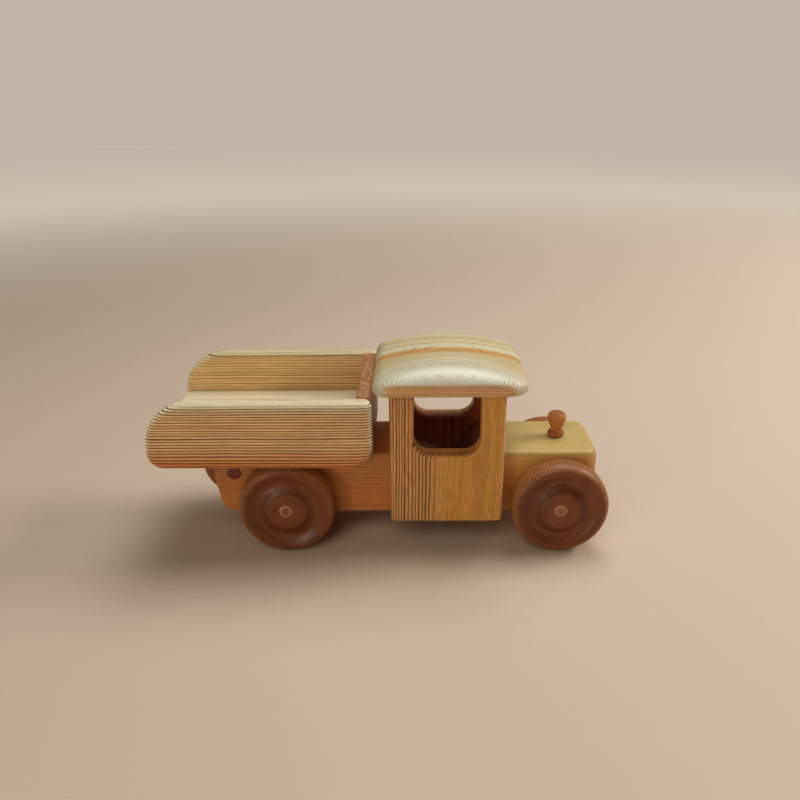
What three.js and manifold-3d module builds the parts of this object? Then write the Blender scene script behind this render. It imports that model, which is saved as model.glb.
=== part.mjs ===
// Toy dump truck: a solid-wood truck with a tipping bed.
// Millimetres, +X forward, +Y left, +Z up, origin on the ground under the middle of the bounding box.
import * as THREE from 'three';
import { mergeVertices } from 'three/addons/utils/BufferGeometryUtils.js';
import Module from 'manifold-3d';

const wasm = await Module();
wasm.setup();

// ---------------------------------------------------------------- driving dimensions
const gap = 0.3;              // clearance left between pieces that touch or are glued

const wheel = { radius: 30, width: 15.1, round: 5.5, hubRadius: 13, coveOuter: 24.5, coveDepth: 2.6 };
const axle = { radius: 4.1, frontX: 108.5, rearX: -60.3, halfLength: 39.8 };
const axleBore = axle.radius + 0.45;      // loose in the chassis, so the wheels turn
const gluedBore = axle.radius + 0.25;     // glued in the wheels

const chassis = {
  rear: -106.5, front: 132.6, bottom: 20.7, top: 62.8, halfWidth: 23.7,
  edge: 1.6, frontRound: 5, cornerRound: 8, rearCorner: 9.5,
};
const recess = { rear: 10.5, rearFloor: 54.5, front: 63, frontFloor: 42.3, lowX: 43.5 };

const pin = { x: -93.9, z: 48.6, radius: 4.1 };
const slot = { halfWidth: 12, reach: 25.3 };      // fork at the chassis rear, measured from the pin
const tongue = { halfWidth: 11.5, radius: 22.5, front: 17, heelX: 8, heelZ: -24.3 };

const cab = {
  rear: 4.2, front: 73.1, bottom: 19.9, top: 105.3, inner: 24.0, outer: 35.6, edge: 2.4, corner: 3,
  windowRear: 18.8, windowFront: 58.8, sill: 66.4, windowRound: 10,
};
const roof = {
  rear: -5.6, front: 86, crownX: 38.4, halfWidth: 41, bottom: 105.6, crown: 121.3, archRadius: 143,
  topRound: 8, sideInset: 9, endInset: 5.5, bottomRound: 2.5, rearCorner: 8.5, frontCorner: 13,
};
const knob = { x: 109.8, tenonRadius: 2.5, tenonDepth: 9, height: 16.7 };

const bed = {
  rear: -138.5, front: -5.4, bottom: 63.6, top: 106.2, outer: 48.3, board: 9.4, boardEdge: 3.8,
  tailRadius: 29.3, rearCorner: 9.5, frontBottomCorner: 14, frontCorner: 4.5,
  floorRear: -137.1, floorTop: 79.6, headRear: -14.6, headFront: -6,
};
const dowel = { radius: 3, bore: 3.3 };

// ---------------------------------------------------------------- solid helpers
const root = new THREE.Group();
root.name = 'toy_dump_truck';

function toManifold(geometry) {
  const g = geometry.clone();
  g.deleteAttribute('normal');
  g.deleteAttribute('uv');
  const merged = mergeVertices(g, 1e-4);
  return new wasm.Manifold(new wasm.Mesh({
    numProp: 3,
    vertProperties: new Float32Array(merged.attributes.position.array),
    triVerts: new Uint32Array(merged.index.array),
  }));
}

function toGeometry(solid) {
  const mesh = solid.getMesh();
  const g = new THREE.BufferGeometry();
  g.setAttribute('position', new THREE.BufferAttribute(new Float32Array(mesh.vertProperties), 3));
  g.setIndex(new THREE.BufferAttribute(new Uint32Array(mesh.triVerts), 1));
  g.computeVertexNormals();
  return g;
}

function cut(geometry, tools) {
  let solid = toManifold(geometry);
  for (const tool of tools) solid = solid.subtract(toManifold(tool));
  return toGeometry(solid);
}

function add(name, geometry, color, roughness = 0.55) {
  const mesh = new THREE.Mesh(geometry, new THREE.MeshStandardMaterial({ color, roughness }));
  mesh.name = name;
  root.add(mesh);
  return mesh;
}

// Outline in the X-Z plane from corners [x, z, radius], rounded by short arcs.
function roundedOutline(corners, arcSteps = 6) {
  const points = [];
  const count = corners.length;
  for (let i = 0; i < count; i += 1) {
    const [x, z, radius = 0] = corners[i];
    const corner = new THREE.Vector2(x, z);
    if (radius <= 0) { points.push(corner); continue; }
    const before = new THREE.Vector2(...corners[(i + count - 1) % count].slice(0, 2)).sub(corner).normalize();
    const after = new THREE.Vector2(...corners[(i + 1) % count].slice(0, 2)).sub(corner).normalize();
    const half = Math.acos(THREE.MathUtils.clamp(before.dot(after), -1, 1)) / 2;
    const centre = corner.clone().add(
      before.clone().add(after).normalize().multiplyScalar(radius / Math.sin(half)));
    const start = corner.clone().addScaledVector(before, radius / Math.tan(half)).sub(centre);
    const end = corner.clone().addScaledVector(after, radius / Math.tan(half)).sub(centre);
    let sweep = end.angle() - start.angle();
    if (sweep > Math.PI) sweep -= 2 * Math.PI;
    if (sweep < -Math.PI) sweep += 2 * Math.PI;
    for (let k = 0; k <= arcSteps; k += 1) {
      const a = start.angle() + sweep * (k / arcSteps);
      points.push(new THREE.Vector2(centre.x + radius * Math.cos(a), centre.y + radius * Math.sin(a)));
    }
  }
  return points;
}

// Board lying in the X-Z plane, from y0 to y1, its edges rounded over by `edge`.
function board(points, y0, y1, edge = 0, edgeSteps = 3) {
  const g = new THREE.ExtrudeGeometry(new THREE.Shape(points), {
    depth: y1 - y0 - 2 * edge, steps: 1, curveSegments: 1,
    bevelEnabled: edge > 0, bevelSize: edge, bevelThickness: edge, bevelOffset: -edge, bevelSegments: edgeSteps,
  });
  g.rotateX(Math.PI / 2);
  g.translate(0, y1 - edge, 0);
  return g;
}

function block(x0, x1, y0, y1, z0, z1, edge = 0, steps = 3) {
  const corners = [[x0, z0], [x1, z0], [x1, z1], [x0, z1]];
  return board(corners.map((p) => new THREE.Vector2(...p)), y0, y1, edge, steps);
}

// Cylinder along an axis ('x', 'y' or 'z'), between two positions on that axis.
function rod(axis, from, to, radius, at, { chamfer = 0, segments = 40 } = {}) {
  const half = (to - from) / 2;
  const profile = [
    [0, -half], [radius - chamfer, -half], [radius, -half + chamfer],
    [radius, half - chamfer], [radius - chamfer, half], [0, half],
  ].filter((p, i, all) => i === 0 || p[0] !== all[i - 1][0] || p[1] !== all[i - 1][1]);
  const g = new THREE.LatheGeometry(profile.map((p) => new THREE.Vector2(...p)), segments);
  const middle = (from + to) / 2;
  if (axis === 'x') { g.rotateZ(-Math.PI / 2); g.translate(middle, at[0], at[1]); }
  if (axis === 'y') g.translate(at[0], middle, at[1]);
  if (axis === 'z') { g.rotateX(Math.PI / 2); g.translate(at[0], at[1], middle); }
  return g;
}

const arc = (cx, cz, radius, fromDeg, toDeg, steps) => Array.from({ length: steps + 1 }, (_, k) => {
  const a = THREE.MathUtils.degToRad(fromDeg + (toDeg - fromDeg) * (k / steps));
  return new THREE.Vector2(cx + radius * Math.cos(a), cz + radius * Math.sin(a));
});

// ---------------------------------------------------------------- hidden dowel positions
const cabDowels = [['rear', 13, 34], ['front', 64, 34]];                 // x, z; axis Y
const cabDowelDepth = { chassis: 13, panel: 7.5 };
const roofDowels = [['rear', 11.5], ['front', 66]];                       // x; axis Z
const roofDowelDepth = { panel: 14, roof: 7 };
const bedDowels = [['rear', -118], ['front', -34]];                       // x; axis Y
const bedDowelDepth = { floor: 15, board: 5 };
const bedDowelZ = 71.6;
const headDowelY = 22;
const headDowelDepth = { floor: 14, head: 4.5 };
const tongueDowels = [['rear', -106.2], ['front', -81.6]];                // x; axis Z
const tongueDowelDepth = { tongue: 9.5, floor: 9.5 };

// ---------------------------------------------------------------- chassis beam with bonnet
{
  const c = chassis;
  const clearRadius = c.top - pin.z;              // rear top corner, so the tipping bed floor clears it
  const rearDx = pin.x - c.rear;
  const rearAngle = 180 - THREE.MathUtils.radToDeg(Math.acos(rearDx / clearRadius));
  const outline = roundedOutline([
    ...arc(pin.x, pin.z, clearRadius, rearAngle, 90, 10).map((p) => [p.x, p.y, 0]),
    [c.front, c.top, c.frontRound], [c.front, c.bottom, 3], [c.rear + 2.6, c.bottom, c.rearCorner],
    [c.rear, 43, 0],
  ]);
  const plan = roundedOutline([
    [c.rear - 1, -c.halfWidth], [c.front, -c.halfWidth, c.cornerRound],
    [c.front, c.halfWidth, c.cornerRound], [c.rear - 1, c.halfWidth],
  ]);
  const planPrism = board(plan, c.bottom - 5, c.top + 5);
  planPrism.rotateX(Math.PI / 2);                  // plan outline drawn in X-Y
  const body = toManifold(board(outline, -c.halfWidth, c.halfWidth, c.edge))
    .intersect(toManifold(planPrism));
  const r = recess;
  const recessOutline = [
    [r.rear, c.top + 5], [r.rear, r.rearFloor], [r.lowX - 8, r.frontFloor + 3.1],
    [r.lowX, r.frontFloor + 0.2], [r.lowX + 2.6, r.frontFloor + 1.2], [r.lowX + 4.6, r.frontFloor + 3.4],
    [r.lowX + 6.4, r.frontFloor + 7.2], [r.lowX + 9.2, r.frontFloor + 12],
    [r.lowX + 13.4, r.frontFloor + 16.6], [r.front, c.top], [r.front + 2, c.top + 5],
  ].map((p) => new THREE.Vector2(...p));
  const tools = [
    board(recessOutline, -c.halfWidth - 1, c.halfWidth + 1),
    block(c.rear - 5, pin.x + slot.reach, -slot.halfWidth, slot.halfWidth, c.bottom - 5, c.top + 5),
    rod('y', -30, 30, axleBore, [axle.frontX, wheel.radius]),
    rod('y', -30, 30, axleBore, [axle.rearX, wheel.radius]),
    rod('y', -30, 30, pin.radius + 0.25, [pin.x, pin.z]),
    rod('z', c.top - knob.tenonDepth - 0.5, c.top + 5, knob.tenonRadius + gap, [knob.x, 0], { segments: 24 }),
  ];
  for (const [, x, z] of cabDowels) {
    const inner = c.halfWidth - cabDowelDepth.chassis - gap;
    tools.push(rod('y', inner, c.halfWidth + 5, dowel.bore, [x, z], { segments: 20 }));
    tools.push(rod('y', -c.halfWidth - 5, -inner, dowel.bore, [x, z], { segments: 20 }));
  }
  let solid = body;
  for (const tool of tools) solid = solid.subtract(toManifold(tool));
  add('chassis', toGeometry(solid), 0xc58a48);
}

// ---------------------------------------------------------------- cab side panels
for (const [side, sign] of [['left', 1], ['right', -1]]) {
  const c = cab;
  const outline = roundedOutline([
    [c.rear, c.bottom, c.corner], [c.front, c.bottom, c.corner], [c.front, c.top],
    [c.windowFront, c.top], [c.windowFront, c.sill, c.windowRound],
    [c.windowRear, c.sill, c.windowRound], [c.windowRear, c.top], [c.rear, c.top],
  ]);
  const y0 = sign > 0 ? c.inner : -c.outer;
  const tools = [];
  for (const [, x, z] of cabDowels) {
    const a = sign * (c.inner - 5);
    const b = sign * (c.inner + cabDowelDepth.panel + gap);
    tools.push(rod('y', Math.min(a, b), Math.max(a, b), dowel.bore, [x, z], { segments: 20 }));
  }
  for (const [, x] of roofDowels) {
    tools.push(rod('z', c.top - roofDowelDepth.panel - gap, c.top + 5, dowel.bore,
      [x, sign * (c.inner + c.outer) / 2], { segments: 20 }));
  }
  add(`cab_side_${side}`, cut(board(outline, y0, y0 + c.outer - c.inner, c.edge), tools), 0xc98f4e);
}

// ---------------------------------------------------------------- arched roof slab
{
  const r = roof;
  const topAt = (x) => r.crown - ((x - r.crownX) ** 2) / (2 * r.archRadius);
  const middle = (r.front + r.rear) / 2;
  // Plan outline, inset by `along` at the two ends and `across` at the two sides.
  const perCorner = 7;
  const longSteps = 8;
  const planRing = (along, across) => {
    const corner = (x, sideY, radius, start) => {
      const rx = Math.max(radius - along, 0.5);
      const ry = Math.max(radius - across, 0.5);
      const cx = x > middle ? x - along - rx : x + along + rx;
      const cy = sideY > 0 ? sideY - across - ry : sideY + across + ry;
      return Array.from({ length: perCorner + 1 }, (_, k) => {
        const a = THREE.MathUtils.degToRad(start + 90 * (k / perCorner));
        return [cx + rx * Math.cos(a), cy + ry * Math.sin(a)];
      });
    };
    const corners = [
      corner(r.front, r.halfWidth, r.frontCorner, 0), corner(r.rear, r.halfWidth, r.rearCorner, 90),
      corner(r.rear, -r.halfWidth, r.rearCorner, 180), corner(r.front, -r.halfWidth, r.frontCorner, 270),
    ];
    return corners.flatMap((points, i) => {
      const from = points[perCorner];
      const to = corners[(i + 1) % 4][0];
      const straight = Array.from({ length: longSteps - 1 }, (_, k) => {
        const t = (k + 1) / longSteps;
        return [from[0] + (to[0] - from[0]) * t, from[1] + (to[1] - from[1]) * t];
      });
      return [...points, ...straight];
    });
  };
  const levels = [];
  const bottomSteps = 3;
  for (let k = 0; k <= bottomSteps; k += 1) {
    const a = (Math.PI / 2) * (k / bottomSteps);
    const inset = r.bottomRound * (1 - Math.sin(a));
    levels.push({ along: inset, across: inset, z: () => r.bottom + r.bottomRound * (1 - Math.cos(a)) });
  }
  const topSteps = 6;
  for (let k = 0; k <= topSteps; k += 1) {
    const a = (Math.PI / 2) * (k / topSteps);
    levels.push({
      along: r.endInset * (1 - Math.cos(a)),
      across: r.sideInset * (1 - Math.cos(a)),
      z: (x) => {
        const rise = Math.min(r.topRound, topAt(x) - r.bottom - r.bottomRound - 0.4);
        return topAt(x) - rise * (1 - Math.sin(a));
      },
    });
  }
  for (const inset of [16, 24, 32, 39]) levels.push({ along: inset + 2, across: inset, z: topAt });
  const position = [];
  const index = [];
  const rings = levels.map((level) => planRing(level.along, level.across).map(([x, y]) => {
    position.push(x, y, level.z(x));
    return position.length / 3 - 1;
  }));
  for (let l = 0; l + 1 < rings.length; l += 1) {
    const n = rings[l].length;
    for (let i = 0; i < n; i += 1) {
      const [a, b, c, d] = [rings[l][i], rings[l][(i + 1) % n], rings[l + 1][(i + 1) % n], rings[l + 1][i]];
      index.push(a, b, c, a, c, d);
    }
  }
  const cap = (ring, z, up) => {
    position.push(middle, 0, z);
    const centre = position.length / 3 - 1;
    for (let i = 0; i < ring.length; i += 1) {
      const [a, b] = [ring[i], ring[(i + 1) % ring.length]];
      if (up) index.push(centre, a, b); else index.push(centre, b, a);
    }
  };
  cap(rings[0], r.bottom, false);
  cap(rings[rings.length - 1], topAt(middle), true);
  const g = new THREE.BufferGeometry();
  g.setAttribute('position', new THREE.Float32BufferAttribute(position, 3));
  g.setIndex(index);
  const tools = [];
  for (const sign of [1, -1]) {
    for (const [, x] of roofDowels) {
      tools.push(rod('z', r.bottom - 5, r.bottom + roofDowelDepth.roof + gap, dowel.bore,
        [x, sign * (cab.inner + cab.outer) / 2], { segments: 20 }));
    }
  }
  add('cab_roof', cut(g, tools), 0xe8cf9a);
}

// ---------------------------------------------------------------- turned bonnet knob
{
  const k = knob;
  const profile = [
    [0, -k.tenonDepth], [k.tenonRadius - 0.4, -k.tenonDepth], [k.tenonRadius, -k.tenonDepth + 0.4],
    [k.tenonRadius, gap], [4.5, gap], [5.0, 0.8], [5.25, 1.7], [5.15, 2.6], [4.5, 3.5], [3.75, 4.2], [3.5, 4.9],
    [3.65, 5.8], [4.3, 7.4], [5.05, 9.3], [5.6, 11.1], [5.85, 12.6], [5.7, 14.0], [4.9, 15.3],
    [3.3, 16.25], [1.6, 16.62], [0, k.height],
  ].map((p) => new THREE.Vector2(...p));
  const g = new THREE.LatheGeometry(profile, 40);
  g.rotateX(Math.PI / 2);
  g.translate(k.x, 0, chassis.top);
  add('bonnet_knob', g, 0xb06a34);
}

// ---------------------------------------------------------------- wheels and axles
function wheelGeometry(x, sign) {
  const w = wheel;
  const face = w.width / 2;
  const coveInner = w.hubRadius;
  const cove = Array.from({ length: 7 }, (_, k) => {
    const t = (k + 1) / 8;
    const radius = coveInner + (w.coveOuter - coveInner) * t;
    return [radius, face - w.coveDepth * Math.sin(Math.PI * t)];
  });
  const outerRound = Array.from({ length: 8 }, (_, k) => {
    const a = (Math.PI / 2) * (k / 7);
    return [w.radius - w.round + w.round * Math.sin(a), face - w.round * (1 - Math.cos(a))];
  });
  const innerRound = Array.from({ length: 6 }, (_, k) => {
    const a = (Math.PI / 2) * (k / 5);
    return [w.radius - 4 + 4 * Math.cos(a), -face + 4 * (1 - Math.sin(a))];
  });
  const loop = [
    [gluedBore, -face], [gluedBore, face], [coveInner, face], ...cove, ...outerRound, ...innerRound,
    [gluedBore, -face],
  ].map((p) => new THREE.Vector2(...p));
  const g = new THREE.LatheGeometry(loop.reverse(), 48);
  if (sign < 0) g.rotateX(Math.PI);
  g.translate(x, sign * (axle.halfLength - face), w.radius);
  return g;
}
for (const [end, x] of [['front', axle.frontX], ['rear', axle.rearX]]) {
  for (const [side, sign] of [['left', 1], ['right', -1]]) {
    add(`wheel_${end}_${side}`, wheelGeometry(x, sign), 0x8a4a24, 0.5);
  }
  add(`axle_${end}`, rod('y', -axle.halfLength, axle.halfLength, axle.radius, [x, wheel.radius],
    { chamfer: 0.5 }), 0x9a6238, 0.6);
}

// ---------------------------------------------------------------- tipping bed
{
  const b = bed;
  const tail = [b.rear + b.tailRadius, b.top - b.tailRadius];
  const outline = [
    ...roundedOutline([
      [b.rear, b.bottom, b.rearCorner], [b.front, b.bottom, b.frontBottomCorner],
      [b.front, b.top, b.frontCorner],
      [tail[0], b.top], [b.rear, tail[1]],
    ]).slice(0, -2),
    ...arc(tail[0], tail[1], b.tailRadius, 90, 180, 12),
  ];
  const floorHalf = b.outer - b.board - gap;
  for (const [side, sign] of [['left', 1], ['right', -1]]) {
    const y0 = sign > 0 ? b.outer - b.board : -b.outer;
    const tools = bedDowels.map(([, x]) => {
      const from = sign * (b.outer - b.board - 5);
      const to = sign * (b.outer - b.board + bedDowelDepth.board + gap);
      return rod('y', Math.min(from, to), Math.max(from, to), dowel.bore, [x, bedDowelZ], { segments: 20 });
    });
    add(`bed_side_${side}`, cut(board(outline, y0, y0 + b.board, b.boardEdge), tools), 0xcf9a58);
  }

  const floorTools = [];
  for (const sign of [1, -1]) {
    for (const [, x] of bedDowels) {
      const from = sign * (floorHalf - bedDowelDepth.floor - gap);
      const to = sign * (floorHalf + 5);
      floorTools.push(rod('y', Math.min(from, to), Math.max(from, to), dowel.bore, [x, bedDowelZ],
        { segments: 20 }));
    }
    floorTools.push(rod('x', b.headRear - gap - headDowelDepth.floor - gap, b.headRear + 5, dowel.bore,
      [sign * headDowelY, bedDowelZ], { segments: 20 }));
  }
  for (const [, x] of tongueDowels) {
    floorTools.push(rod('z', b.bottom - 5, b.bottom + tongueDowelDepth.floor + gap, dowel.bore,
      [x, 0], { segments: 20 }));
  }
  const floor = block(b.floorRear, b.headRear - gap, -floorHalf, floorHalf, b.bottom, b.floorTop, 1.2);
  add('bed_floor', cut(floor, floorTools), 0xe2c08c);

  const headTools = [1, -1].map((sign) => rod('x', b.headRear - 5, b.headRear + headDowelDepth.head + gap,
    dowel.bore, [sign * headDowelY, bedDowelZ], { segments: 20 }));
  const head = block(b.headRear, b.headFront, -floorHalf, floorHalf, b.bottom, b.top, 1.6);
  add('bed_headboard', cut(head, headTools), 0xb87444);

  // Tongue under the floor, turning on the pin in the chassis fork; its heel is the tip stop.
  const t = tongue;
  const topZ = b.bottom - gap;
  const topAngle = 180 - THREE.MathUtils.radToDeg(Math.asin((topZ - pin.z) / t.radius));
  const tongueOutline = [
    ...arc(pin.x, pin.z, t.radius, topAngle, 262, 18),
    new THREE.Vector2(pin.x + t.heelX - 2, pin.z + t.heelZ),
    new THREE.Vector2(pin.x + t.heelX, pin.z + t.heelZ + 0.6),
    new THREE.Vector2(pin.x + t.front, pin.z + 2),
    new THREE.Vector2(pin.x + t.front, topZ),
  ];
  const tongueTools = [rod('y', -30, 30, pin.radius + 0.45, [pin.x, pin.z])];
  for (const [, x] of tongueDowels) {
    tongueTools.push(rod('z', topZ - tongueDowelDepth.tongue - gap, topZ + 5, dowel.bore, [x, 0],
      { segments: 20 }));
  }
  add('bed_tongue', cut(board(tongueOutline, -t.halfWidth, t.halfWidth, 0.8, 2), tongueTools), 0xa86a38);
}
add('hinge_pin', rod('y', -chassis.halfWidth + 0.1, chassis.halfWidth - 0.1, pin.radius, [pin.x, pin.z],
  { chamfer: 0.4 }), 0x6a3c22, 0.7);

// ---------------------------------------------------------------- hidden glue dowels
const dowelColor = 0xd8b482;
const addDowel = (name, axis, from, to, at) => add(name,
  rod(axis, Math.min(from, to), Math.max(from, to), dowel.radius, at, { chamfer: 0.5, segments: 20 }),
  dowelColor, 0.7);
for (const [side, sign] of [['left', 1], ['right', -1]]) {
  for (const [end, x, z] of cabDowels) {
    addDowel(`dowel_cab_${side}_${end}`, 'y', sign * (chassis.halfWidth - cabDowelDepth.chassis),
      sign * (cab.inner + cabDowelDepth.panel), [x, z]);
  }
  for (const [end, x] of roofDowels) {
    addDowel(`dowel_roof_${side}_${end}`, 'z', cab.top - roofDowelDepth.panel,
      roof.bottom + roofDowelDepth.roof, [x, sign * (cab.inner + cab.outer) / 2]);
  }
  for (const [end, x] of bedDowels) {
    addDowel(`dowel_bed_${side}_${end}`, 'y', sign * (bed.outer - bed.board - gap - bedDowelDepth.floor),
      sign * (bed.outer - bed.board + bedDowelDepth.board), [x, bedDowelZ]);
  }
  addDowel(`dowel_headboard_${side}`, 'x', bed.headRear - gap - headDowelDepth.floor,
    bed.headRear + headDowelDepth.head, [sign * headDowelY, bedDowelZ]);
}
for (const [end, x] of tongueDowels) {
  addDowel(`dowel_tongue_${end}`, 'z', bed.bottom - gap - tongueDowelDepth.tongue,
    bed.bottom + tongueDowelDepth.floor, [x, 0]);
}

export default root;
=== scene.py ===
import math

import bmesh
import bpy
from mathutils import Matrix, Vector


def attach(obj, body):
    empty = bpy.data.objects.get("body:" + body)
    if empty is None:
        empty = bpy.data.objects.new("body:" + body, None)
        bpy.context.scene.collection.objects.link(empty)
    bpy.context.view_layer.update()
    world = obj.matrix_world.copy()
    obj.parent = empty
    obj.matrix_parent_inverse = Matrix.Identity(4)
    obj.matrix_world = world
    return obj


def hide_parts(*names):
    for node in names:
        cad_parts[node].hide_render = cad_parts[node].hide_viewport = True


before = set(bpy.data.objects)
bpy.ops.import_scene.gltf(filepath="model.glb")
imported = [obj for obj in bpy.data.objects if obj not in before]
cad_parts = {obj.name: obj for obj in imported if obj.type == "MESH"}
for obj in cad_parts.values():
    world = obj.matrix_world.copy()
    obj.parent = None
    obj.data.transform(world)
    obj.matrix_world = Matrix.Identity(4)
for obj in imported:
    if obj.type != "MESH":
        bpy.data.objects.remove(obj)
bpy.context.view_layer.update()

scene = bpy.context.scene

# Shapes and woods are written in millimetres in the row frame, and scaled to metres at the mesh.
MM = 0.001
X, Y, Z = (1, 0, 0), (0, 1, 0), (0, 0, 1)

BEAM = dict(rear=-106.5, front=132.6, bottom=20.7, top=62.8, half=23.7, edge=1.6)
PIN = dict(x=-93.9, z=48.6, radius=4.1, half=23.6)
CAB = dict(rear=4.2, front=73.1, bottom=19.9, top=105.3, inner=24.0, thick=11.6)
WINDOW = dict(rear=18.8, front=58.8, sill=66.4)
ROOF = dict(rear=-5.6, front=86.0, crown_x=38.4, half=41.0, bottom=105.6, crown=121.3, arch=143.0,
            top_round=8.0, side_inset=12.5, end_inset=6.5, round_power=2.4, bottom_round=2.5,
            rear_corner=8.5, front_corner=13.0)
KNOB_X = 109.8
WHEEL = dict(radius=30, half=7.55)
AXLES = dict(z=30, half=39.8, radius=4.1, front=108.5, rear=-60.3)
BED = dict(rear=-138.5, front=-5.4, bottom=63.6, top=106.2, outer=48.3, thick=9.4, tail=29.3)
FLOOR = dict(rear=-137.1, front=-14.9, half=38.6, top=79.6)
HEADBOARD = dict(rear=-14.6, front=-6.0)
TONGUE = dict(radius=22.5, half=11.5, top=63.3)

# Radius of the bore for a part that turns, for a pin that is glued in, and for a glue dowel.
TURNING_BORE, GLUED_BORE, DOWEL_BORE = 4.55, 4.35, 3.3
CAB_DOWELS = dict(xs=(13, 64), z=34)
ROOF_DOWELS = dict(xs=(11.5, 66), y=29.8)
BED_DOWELS = dict(xs=(-118, -34), z=71.6)
HEADBOARD_DOWELS_Y = (22, -22)
TONGUE_DOWELS_X = (-106.2, -81.6)


# ---- mesh helpers
def rounded(corners, steps=10):
    """Closed outline from corners (a, b, radius), each rounded by a short arc."""
    points = []
    count = len(corners)
    for i, corner in enumerate(corners):
        here = Vector(corner[:2])
        radius = corner[2] if len(corner) > 2 else 0
        if radius <= 0:
            points.append(here)
            continue
        before = (Vector(corners[i - 1][:2]) - here).normalized()
        after = (Vector(corners[(i + 1) % count][:2]) - here).normalized()
        half = before.angle(after) / 2
        centre = here + (before + after).normalized() * (radius / math.sin(half))
        start = here + before * (radius / math.tan(half)) - centre
        end = here + after * (radius / math.tan(half)) - centre
        a0 = math.atan2(start.y, start.x)
        sweep = math.atan2(end.y, end.x) - a0
        sweep = (sweep + math.pi) % (2 * math.pi) - math.pi
        for k in range(steps + 1):
            a = a0 + sweep * k / steps
            points.append(centre + radius * Vector((math.cos(a), math.sin(a))))
    return points


def arc(cx, cz, radius, start, end, steps):
    """Points on an arc, angles in degrees."""
    angles = [math.radians(start + (end - start) * k / steps) for k in range(steps + 1)]
    return [Vector((cx + radius * math.cos(a), cz + radius * math.sin(a))) for a in angles]


def densified(points, longest):
    """The same closed outline with no span longer than `longest`."""
    out = []
    for i, p in enumerate(points):
        q = points[(i + 1) % len(points)]
        n = max(1, math.ceil((q - p).length / longest))
        out += [p.lerp(q, k / n) for k in range(n)]
    return out


def outward(points):
    """Unit normal at each point of a closed outline, pointing out of it."""
    count = len(points)
    area = sum(points[i - 1].x * points[i].y - points[i].x * points[i - 1].y for i in range(count))
    turn = 1 if area > 0 else -1
    normals = []
    for i in range(count):
        a = (points[i] - points[i - 1]).normalized()
        b = (points[(i + 1) % count] - points[i]).normalized()
        t = (a + b).normalized()
        normals.append(Vector((t.y, -t.x)) * turn)
    return normals


def loft(rings):
    """Vertices and faces of a closed skin through rings of equally many points, capped at both ends."""
    n = len(rings[0])
    verts = [tuple(p) for ring in rings for p in ring]
    faces = []
    for r in range(len(rings) - 1):
        for i in range(n):
            j = (i + 1) % n
            faces.append((r * n + i, r * n + j, (r + 1) * n + j, (r + 1) * n + i))
    faces.append(tuple(range(n))[::-1])
    faces.append(tuple(range((len(rings) - 1) * n, len(rings) * n)))
    return verts, faces


def between(a, b, parts):
    """The points that split a straight span into equal parts, ends left out."""
    return [(a[0] + (b[0] - a[0]) * k / parts, a[1] + (b[1] - a[1]) * k / parts) for k in range(1, parts)]


def spline(points, parts):
    """Catmull-Rom curve through the points."""
    pts = [points[0], *points, points[-1]]
    out = []
    for p0, p1, p2, p3 in zip(pts, pts[1:], pts[2:], pts[3:]):
        for k in range(parts):
            t = k / parts
            out.append(tuple(
                0.5 * (2 * p1[c] + (p2[c] - p0[c]) * t + (2 * p0[c] - 5 * p1[c] + 4 * p2[c] - p3[c]) * t * t
                       + (3 * p1[c] - p0[c] - 3 * p2[c] + p3[c]) * t ** 3) for c in range(2)))
    out.append(points[-1])
    return out


def mirrored(profile):
    """A turning profile of (radius, height) followed by its mirror image."""
    return profile + [(r, -z) for r, z in reversed(profile)]


def build(name, verts, faces):
    """Object with a closed mesh, its normals pointing out."""
    mesh = bpy.data.meshes.new(name)
    mesh.from_pydata([Vector(v) * MM for v in verts], [], faces)
    bm = bmesh.new()
    bm.from_mesh(mesh)
    bmesh.ops.remove_doubles(bm, verts=bm.verts, dist=1e-7)
    bmesh.ops.recalc_face_normals(bm, faces=bm.faces)
    bm.to_mesh(mesh)
    bm.free()
    obj = bpy.data.objects.new(name, mesh)
    scene.collection.objects.link(obj)
    return obj


def board(name, outline, y0, y1, edge, depth=None, steps=8, longest=5.0):
    """Board lying in X-Z from y0 to y1, edges rounded over.

    edge: how far the rounding reaches in from the outline, a number or a function of (point, normal).
    depth: how far it reaches in from the faces; the same as edge where it isn't given.
    """
    points = densified(outline, longest)
    normals = outward(points)
    reach = [edge(p, n) if callable(edge) else edge for p, n in zip(points, normals)]
    depths = [depth if depth else r for r in reach]

    def ring(side, sign, a):
        return [(p.x - n.x * r * (1 - math.sin(a)), side + sign * d * (1 - math.cos(a)),
                 p.y - n.y * r * (1 - math.sin(a))) for p, n, r, d in zip(points, normals, reach, depths)]

    angles = [math.pi / 2 * k / steps for k in range(steps + 1)]
    rings = [ring(y0, 1, a) for a in angles] + [ring(y1, -1, a) for a in reversed(angles)]
    return build(name, *loft(rings))


def turned(name, profile, centre, axis, segments=96):
    """Lathe a closed profile of (radius, height) about `axis` through `centre`.

    The profile may start and end on the axis.
    """
    verts, faces, rows = [], [], []
    for radius, height in profile:
        if radius < 1e-6:
            rows.append([len(verts)])
            verts.append(Vector((0, 0, height)))
            continue
        rows.append(list(range(len(verts), len(verts) + segments)))
        for s in range(segments):
            a = 2 * math.pi * s / segments
            verts.append(Vector((radius * math.cos(a), radius * math.sin(a), height)))
    on_axis = len(rows[0]) == 1
    pairs = list(zip(rows, rows[1:])) + ([] if on_axis else [(rows[-1], rows[0])])
    for low, high in pairs:
        for s in range(segments):
            t = (s + 1) % segments
            corners = [low[s % len(low)], low[t % len(low)], high[t % len(high)], high[s % len(high)]]
            faces.append(tuple(dict.fromkeys(corners)))
    turn = Vector(Z).rotation_difference(Vector(axis)).to_matrix()
    return build(name, [turn @ v + Vector(centre) for v in verts], faces)


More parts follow.
